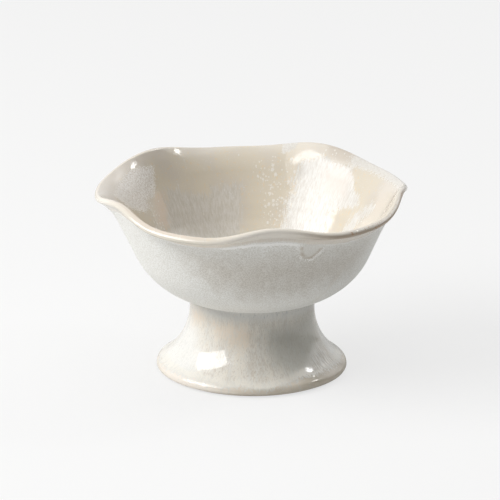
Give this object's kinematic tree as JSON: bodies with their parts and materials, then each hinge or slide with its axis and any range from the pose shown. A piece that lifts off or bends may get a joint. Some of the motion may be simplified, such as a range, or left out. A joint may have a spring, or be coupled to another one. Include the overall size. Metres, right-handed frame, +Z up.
{
  "type": "footed compote bowl",
  "caption": "Round stoneware bowl with a wavy petalled lip on a hollow flared foot, for serving fruit or dessert.",
  "frame": {"origin": "centre of the foot's ring, on the table that it stands on", "axes": "+Z up along the bowl's axis; -Y is the side that the picture sees, with +X to its right"},
  "size_m": [0.1606, 0.1606, 0.0999],
  "materials": {
    "clay": "bare fired stoneware, matt",
    "slip": "fired slip, matt",
    "inner_glaze": "glossy cream glaze with white runs",
    "outer_glaze": "satin pale grey glaze, finely speckled",
    "foot_glaze": "glossy cream glaze with white runs",
    "hollow_glaze": "glossy thin cream glaze"
  },
  "bodies": {
    "root": {"bowl_body": "clay", "foot_body": "clay", "luting_slip": "slip", "bowl_inner_glaze": "inner_glaze", "bowl_outer_glaze": "outer_glaze", "foot_outer_glaze": "foot_glaze", "foot_inner_glaze": "hollow_glaze"}
  },
  "joints": []
}
